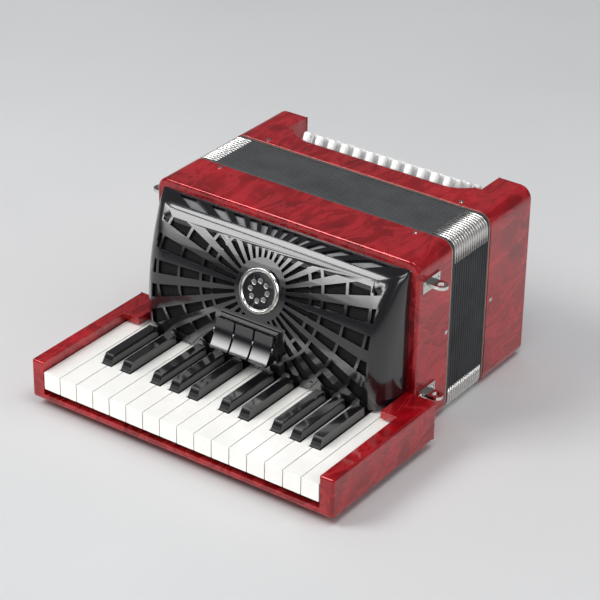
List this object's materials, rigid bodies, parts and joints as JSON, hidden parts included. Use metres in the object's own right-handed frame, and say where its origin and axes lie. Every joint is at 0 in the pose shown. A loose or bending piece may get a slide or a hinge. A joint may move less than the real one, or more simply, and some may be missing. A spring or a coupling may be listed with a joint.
{
  "type": "piano accordion",
  "caption": "Small piano accordion in red pearl with black sunburst grille, bellows, bass buttons and strap.",
  "frame": {"origin": "middle of the treble casing's back face, on the plane it lies on", "axes": "+X along the keyboard to the high notes, +Y from the keyboard to the bass side, +Z from the player's side up to the front"},
  "size_m": [0.324, 0.364, 0.176],
  "materials": {
    "celluloid": "gloss",
    "grille_black": "gloss",
    "register_black": "gloss",
    "button_board": "gloss",
    "nickel": "polished",
    "steel": "satin",
    "wood": "satin",
    "reed_metal": "satin",
    "frame_trim": "satin",
    "key_white": "gloss",
    "key_black": "gloss",
    "button_white": "gloss",
    "bellows_cloth": "matte",
    "strap_leather": "satin"
  },
  "bodies": {
    "treble_body": {"treble_case": "celluloid", "treble_grille": "grille_black", "grille_badge": "nickel", "register_block": "register_black", "keyboard_frame": "celluloid", "key_axle": "steel", "treble_foundation": "wood", "treble_reed_blocks": "wood", "treble_reeds": "reed_metal", "treble_bellows_frame": "frame_trim", "treble_pins": "nickel", "strap_brackets": "nickel"},
    "bass_body": {"bass_case": "celluloid", "bass_cover": "celluloid", "bass_board": "button_board", "bass_foundation": "wood", "bass_reed_block": "wood", "bass_bellows_frame": "frame_trim", "bass_pins": "nickel", "hand_strap": "strap_leather"},
    "b_key_01_b": {"key_01_b": "key_white"},
    "b_key_02_c": {"key_02_c": "key_white"},
    "b_key_03_cs": {"key_03_cs": "key_black"},
    "b_key_04_d": {"key_04_d": "key_white"},
    "b_key_05_ds": {"key_05_ds": "key_black"},
    "b_key_06_e": {"key_06_e": "key_white"},
    "b_key_07_f": {"key_07_f": "key_white"},
    "b_key_08_fs": {"key_08_fs": "key_black"},
    "b_key_09_g": {"key_09_g": "key_white"},
    "b_key_10_gs": {"key_10_gs": "key_black"},
    "b_key_11_a": {"key_11_a": "key_white"},
    "b_key_12_as": {"key_12_as": "key_black"},
    "b_key_13_b": {"key_13_b": "key_white"},
    "b_key_14_c": {"key_14_c": "key_white"},
    "b_key_15_cs": {"key_15_cs": "key_black"},
    "b_key_16_d": {"key_16_d": "key_white"},
    "b_key_17_ds": {"key_17_ds": "key_black"},
    "b_key_18_e": {"key_18_e": "key_white"},
    "b_key_19_f": {"key_19_f": "key_white"},
    "b_key_20_fs": {"key_20_fs": "key_black"},
    "b_key_21_g": {"key_21_g": "key_white"},
    "b_key_22_gs": {"key_22_gs": "key_black"},
    "b_key_23_a": {"key_23_a": "key_white"},
    "b_key_24_as": {"key_24_as": "key_black"},
    "b_key_25_b": {"key_25_b": "key_white"},
    "b_key_26_c": {"key_26_c": "key_white"},
    "b_register_1": {"register_1": "register_black"},
    "b_register_2": {"register_2": "register_black"},
    "b_register_3": {"register_3": "register_black"},
    "b_slide_low": {"register_slide_low": "reed_metal"},
    "b_slide_middle": {"register_slide_middle": "reed_metal"},
    "b_folds_1": {"bellows_folds_1": "bellows_cloth"},
    "b_folds_2": {"bellows_folds_2": "bellows_cloth"},
    "b_folds_3": {"bellows_folds_3": "bellows_cloth"},
    "b_buttons_1": {"bass_buttons_1": "button_white"},
    "b_buttons_2": {"bass_buttons_2": "button_white"},
    "b_buttons_3": {"bass_buttons_3": "button_white"},
    "b_buttons_4": {"bass_buttons_4": "button_white"},
    "b_air_button": {"air_button": "button_white"},
    "b_strap_wheel": {"strap_wheel": "nickel"}
  },
  "joints": [
    {"name": "bellows", "type": "slide", "parent": "treble_body", "child": "bass_body", "axis": [0, 1, 0], "range_m": [0, 0.26]},
    {"name": "press_01_b", "type": "hinge", "parent": "treble_body", "child": "b_key_01_b", "pos_m": [0, -0.058, 0.027], "axis": [1, 0, 0], "range_deg": [0, 2.6]},
    {"name": "press_02_c", "type": "hinge", "parent": "treble_body", "child": "b_key_02_c", "pos_m": [0, -0.058, 0.027], "axis": [1, 0, 0], "range_deg": [0, 2.6]},
    {"name": "press_03_cs", "type": "hinge", "parent": "treble_body", "child": "b_key_03_cs", "pos_m": [0, -0.058, 0.027], "axis": [1, 0, 0], "range_deg": [0, 2.6]},
    {"name": "press_04_d", "type": "hinge", "parent": "treble_body", "child": "b_key_04_d", "pos_m": [0, -0.058, 0.027], "axis": [1, 0, 0], "range_deg": [0, 2.6]},
    {"name": "press_05_ds", "type": "hinge", "parent": "treble_body", "child": "b_key_05_ds", "pos_m": [0, -0.058, 0.027], "axis": [1, 0, 0], "range_deg": [0, 2.6]},
    {"name": "press_06_e", "type": "hinge", "parent": "treble_body", "child": "b_key_06_e", "pos_m": [0, -0.058, 0.027], "axis": [1, 0, 0], "range_deg": [0, 2.6]},
    {"name": "press_07_f", "type": "hinge", "parent": "treble_body", "child": "b_key_07_f", "pos_m": [0, -0.058, 0.027], "axis": [1, 0, 0], "range_deg": [0, 2.6]},
    {"name": "press_08_fs", "type": "hinge", "parent": "treble_body", "child": "b_key_08_fs", "pos_m": [0, -0.058, 0.027], "axis": [1, 0, 0], "range_deg": [0, 2.6]},
    {"name": "press_09_g", "type": "hinge", "parent": "treble_body", "child": "b_key_09_g", "pos_m": [0, -0.058, 0.027], "axis": [1, 0, 0], "range_deg": [0, 2.6]},
    {"name": "press_10_gs", "type": "hinge", "parent": "treble_body", "child": "b_key_10_gs", "pos_m": [0, -0.058, 0.027], "axis": [1, 0, 0], "range_deg": [0, 2.6]},
    {"name": "press_11_a", "type": "hinge", "parent": "treble_body", "child": "b_key_11_a", "pos_m": [0, -0.058, 0.027], "axis": [1, 0, 0], "range_deg": [0, 2.6]},
    {"name": "press_12_as", "type": "hinge", "parent": "treble_body", "child": "b_key_12_as", "pos_m": [0, -0.058, 0.027], "axis": [1, 0, 0], "range_deg": [0, 2.6]},
    {"name": "press_13_b", "type": "hinge", "parent": "treble_body", "child": "b_key_13_b", "pos_m": [0, -0.058, 0.027], "axis": [1, 0, 0], "range_deg": [0, 2.6]},
    {"name": "press_14_c", "type": "hinge", "parent": "treble_body", "child": "b_key_14_c", "pos_m": [0, -0.058, 0.027], "axis": [1, 0, 0], "range_deg": [0, 2.6]},
    {"name": "press_15_cs", "type": "hinge", "parent": "treble_body", "child": "b_key_15_cs", "pos_m": [0, -0.058, 0.027], "axis": [1, 0, 0], "range_deg": [0, 2.6]},
    {"name": "press_16_d", "type": "hinge", "parent": "treble_body", "child": "b_key_16_d", "pos_m": [0, -0.058, 0.027], "axis": [1, 0, 0], "range_deg": [0, 2.6]},
    {"name": "press_17_ds", "type": "hinge", "parent": "treble_body", "child": "b_key_17_ds", "pos_m": [0, -0.058, 0.027], "axis": [1, 0, 0], "range_deg": [0, 2.6]},
    {"name": "press_18_e", "type": "hinge", "parent": "treble_body", "child": "b_key_18_e", "pos_m": [0, -0.058, 0.027], "axis": [1, 0, 0], "range_deg": [0, 2.6]},
    {"name": "press_19_f", "type": "hinge", "parent": "treble_body", "child": "b_key_19_f", "pos_m": [0, -0.058, 0.027], "axis": [1, 0, 0], "range_deg": [0, 2.6]},
    {"name": "press_20_fs", "type": "hinge", "parent": "treble_body", "child": "b_key_20_fs", "pos_m": [0, -0.058, 0.027], "axis": [1, 0, 0], "range_deg": [0, 2.6]},
    {"name": "press_21_g", "type": "hinge", "parent": "treble_body", "child": "b_key_21_g", "pos_m": [0, -0.058, 0.027], "axis": [1, 0, 0], "range_deg": [0, 2.6]},
    {"name": "press_22_gs", "type": "hinge", "parent": "treble_body", "child": "b_key_22_gs", "pos_m": [0, -0.058, 0.027], "axis": [1, 0, 0], "range_deg": [0, 2.6]},
    {"name": "press_23_a", "type": "hinge", "parent": "treble_body", "child": "b_key_23_a", "pos_m": [0, -0.058, 0.027], "axis": [1, 0, 0], "range_deg": [0, 2.6]},
    {"name": "press_24_as", "type": "hinge", "parent": "treble_body", "child": "b_key_24_as", "pos_m": [0, -0.058, 0.027], "axis": [1, 0, 0], "range_deg": [0, 2.6]},
    {"name": "press_25_b", "type": "hinge", "parent": "treble_body", "child": "b_key_25_b", "pos_m": [0, -0.058, 0.027], "axis": [1, 0, 0], "range_deg": [0, 2.6]},
    {"name": "press_26_c", "type": "hinge", "parent": "treble_body", "child": "b_key_26_c", "pos_m": [0, -0.058, 0.027], "axis": [1, 0, 0], "range_deg": [0, 2.6]},
    {"name": "rock_register_1", "type": "hinge", "parent": "treble_body", "child": "b_register_1", "pos_m": [-0.027, -0.074, 0.071], "axis": [1, 0, 0], "range_deg": [-5, 5]},
    {"name": "rock_register_2", "type": "hinge", "parent": "treble_body", "child": "b_register_2", "pos_m": [-0.006, -0.074, 0.071], "axis": [1, 0, 0], "range_deg": [-5, 5]},
    {"name": "rock_register_3", "type": "hinge", "parent": "treble_body", "child": "b_register_3", "pos_m": [0.015, -0.074, 0.071], "axis": [1, 0, 0], "range_deg": [-5, 5]},
    {"name": "shift_slide_low", "type": "slide", "parent": "treble_body", "child": "b_slide_low", "axis": [1, 0, 0], "range_m": [-0.0033, 0.0033]},
    {"name": "shift_slide_middle", "type": "slide", "parent": "treble_body", "child": "b_slide_middle", "axis": [1, 0, 0], "range_m": [-0.0033, 0.0033]},
    {"name": "open_folds_1", "type": "slide", "parent": "treble_body", "child": "b_folds_1", "axis": [0, 1, 0], "range_m": [0, 0.0438]},
    {"name": "open_folds_2", "type": "slide", "parent": "treble_body", "child": "b_folds_2", "axis": [0, 1, 0], "range_m": [0, 0.1305]},
    {"name": "open_folds_3", "type": "slide", "parent": "treble_body", "child": "b_folds_3", "axis": [0, 1, 0], "range_m": [0, 0.2172]},
    {"name": "press_buttons_1", "type": "slide", "parent": "bass_body", "child": "b_buttons_1", "axis": [0, -0.4695, -0.8829], "range_m": [0, 0.004]},
    {"name": "press_buttons_2", "type": "slide", "parent": "bass_body", "child": "b_buttons_2", "axis": [0, -0.4695, -0.8829], "range_m": [0, 0.004]},
    {"name": "press_buttons_3", "type": "slide", "parent": "bass_body", "child": "b_buttons_3", "axis": [0, -0.4695, -0.8829], "range_m": [0, 0.004]},
    {"name": "press_buttons_4", "type": "slide", "parent": "bass_body", "child": "b_buttons_4", "axis": [0, -0.4695, -0.8829], "range_m": [0, 0.004]},
    {"name": "press_air_button", "type": "slide", "parent": "bass_body", "child": "b_air_button", "axis": [0, -1, 0], "range_m": [0, 0.005]},
    {"name": "turn_strap_wheel", "type": "hinge", "parent": "bass_body", "child": "b_strap_wheel", "pos_m": [-0.128, 0.146, 0.072], "axis": [1, 0, 0], "continuous": true}
  ],
  "couplings": [
    {"joint": "rock_register_1", "follows": "shift_slide_low", "rad_per_m": 26.316},
    {"joint": "rock_register_3", "follows": "shift_slide_middle", "rad_per_m": 26.316},
    {"joint": "open_folds_1", "follows": "bellows", "ratio": 0.16667},
    {"joint": "open_folds_2", "follows": "bellows", "ratio": 0.5},
    {"joint": "open_folds_3", "follows": "bellows", "ratio": 0.83333}
  ]
}
